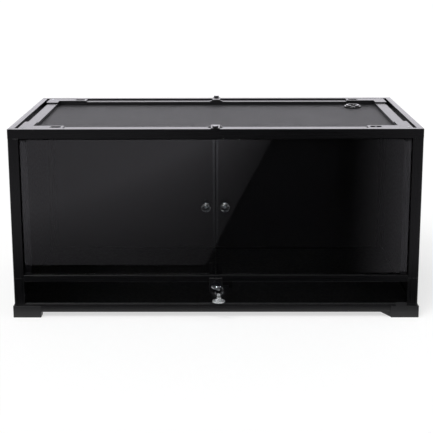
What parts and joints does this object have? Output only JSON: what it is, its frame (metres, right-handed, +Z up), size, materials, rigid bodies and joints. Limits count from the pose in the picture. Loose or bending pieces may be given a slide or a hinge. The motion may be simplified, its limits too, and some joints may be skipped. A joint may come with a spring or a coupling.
{
  "type": "terrarium cabinet",
  "caption": "Front-opening glass terrarium cabinet with hinged doors over a fixed pane, a cam lock with its key, and a lift-out mesh lid with cable ports.",
  "frame": {"origin": "on the floor under the middle of the whole object, with the key and its fob counted", "axes": "+X to the right along the long side, +Y to the back, +Z up; the doors face -Y"},
  "size_m": [0.906, 0.4862, 0.4344],
  "materials": {
    "frame_black": "satin extruded black plastic",
    "foot_black": "finely textured moulded black plastic",
    "panel_black": "smooth opaque black sheet",
    "lid_black": "satin moulded black plastic",
    "mesh_black": "black coated fine wire mesh",
    "gloss_black": "glossy moulded black plastic",
    "pane_glass": "float glass",
    "clear_plastic": "clear polished acrylic",
    "lock_metal": "bright nickel plate",
    "blackened_steel": "black plated pressed steel",
    "plain_steel": "zinc plated steel"
  },
  "bodies": {
    "cabinet": {"top_rail_front": "frame_black", "top_rail_back": "frame_black", "top_rail_left": "frame_black", "top_rail_right": "frame_black", "corner_post_front_left": "frame_black", "corner_post_front_right": "frame_black", "corner_post_back_left": "frame_black", "corner_post_back_right": "frame_black", "base_post_front_left": "frame_black", "base_post_front_right": "frame_black", "base_post_back_left": "frame_black", "base_post_back_right": "frame_black", "base_rail_front": "frame_black", "base_rail_back": "frame_black", "base_rail_left": "frame_black", "base_rail_right": "frame_black", "foot_front_left": "foot_black", "foot_front_right": "foot_black", "foot_back_left": "foot_black", "foot_back_right": "foot_black", "floor_panel": "panel_black", "back_panel": "panel_black", "side_panel_left": "panel_black", "side_panel_right": "panel_black", "lower_front_glass": "pane_glass", "sill_rail": "frame_black", "lock_housing": "frame_black", "lock_barrel": "lock_metal"},
    "left_door": {"hinge_strip_left": "frame_black", "door_glass_left": "pane_glass", "door_knob_left": "clear_plastic", "knob_screw_left": "plain_steel", "door_catch_left": "blackened_steel"},
    "right_door": {"hinge_strip_right": "frame_black", "door_glass_right": "pane_glass", "door_knob_right": "clear_plastic", "knob_screw_right": "plain_steel", "door_catch_right": "blackened_steel"},
    "lid": {"lid_corner_front_left": "lid_black", "lid_corner_front_right": "lid_black", "lid_corner_back_left": "lid_black", "lid_corner_back_right": "lid_black", "lid_bar_front": "lid_black", "lid_bar_back": "lid_black", "lid_bar_left": "lid_black", "lid_bar_right": "lid_black", "lid_mesh": "mesh_black", "grommet_ring": "gloss_black"},
    "front_left_slider": {"port_slider_front_left": "lid_black"},
    "front_right_slider": {"port_slider_front_right": "lid_black"},
    "back_left_slider": {"port_slider_back_left": "lid_black"},
    "back_right_slider": {"port_slider_back_right": "lid_black"},
    "turning_cap": {"grommet_cap": "gloss_black"},
    "front_lid_knob": {"lid_lock_front": "gloss_black"},
    "back_lid_knob": {"lid_lock_back": "gloss_black"},
    "lock_core": {"lock_plug": "lock_metal", "lock_cam": "blackened_steel"},
    "inserted_key": {"key": "lock_metal"},
    "hanging_ring": {"split_ring": "lock_metal"},
    "hanging_fob": {"key_fob": "clear_plastic"}
  },
  "joints": [
    {"name": "door_left_hinge", "type": "hinge", "parent": "cabinet", "child": "left_door", "pos_m": [-0.421, -0.20538, 0.2525], "axis": [0, 0, -1], "range_deg": [0, 110]},
    {"name": "door_right_hinge", "type": "hinge", "parent": "cabinet", "child": "right_door", "pos_m": [0.421, -0.20538, 0.2525], "axis": [0, 0, 1], "range_deg": [0, 110]},
    {"name": "lid_lift", "type": "slide", "parent": "cabinet", "child": "lid", "axis": [0, 0, 1], "range_m": [0, 0.15]},
    {"name": "port_slide_front_left", "type": "slide", "parent": "lid", "child": "front_left_slider", "axis": [1, 0, 0], "range_m": [0, 0.0204]},
    {"name": "port_slide_front_right", "type": "slide", "parent": "lid", "child": "front_right_slider", "axis": [-1, 0, 0], "range_m": [-0.0102, 0.0102]},
    {"name": "port_slide_back_left", "type": "slide", "parent": "lid", "child": "back_left_slider", "axis": [1, 0, 0], "range_m": [0, 0.0204]},
    {"name": "port_slide_back_right", "type": "slide", "parent": "lid", "child": "back_right_slider", "axis": [-1, 0, 0], "range_m": [0, 0.0204]},
    {"name": "grommet_cap_turn", "type": "hinge", "parent": "lid", "child": "turning_cap", "pos_m": [0.342, 0.15213, 0.418], "axis": [0, 0, 1], "continuous": true},
    {"name": "lid_lock_front_turn", "type": "hinge", "parent": "lid", "child": "front_lid_knob", "pos_m": [0, -0.20338, 0.43], "axis": [0, 0, 1], "range_deg": [0, 90]},
    {"name": "lid_lock_back_turn", "type": "hinge", "parent": "lid", "child": "back_lid_knob", "pos_m": [0, 0.23362, 0.43], "axis": [0, 0, 1], "range_deg": [0, 90]},
    {"name": "lock_turn", "type": "hinge", "parent": "cabinet", "child": "lock_core", "pos_m": [0, -0.2, 0.075], "axis": [0, -1, 0], "range_deg": [0, 90]},
    {"name": "key_pull", "type": "slide", "parent": "lock_core", "child": "inserted_key", "axis": [0, -1, 0], "range_m": [0, 0.024]},
    {"name": "ring_swing", "type": "hinge", "parent": "inserted_key", "child": "hanging_ring", "pos_m": [0, -0.22887, 0.075], "axis": [0, -1, 0], "range_deg": [0, 50]},
    {"name": "fob_swing", "type": "hinge", "parent": "hanging_ring", "child": "hanging_fob", "pos_m": [0.00672, -0.22887, 0.06828], "axis": [0, -1, 0], "range_deg": [-40, 40]}
  ]
}
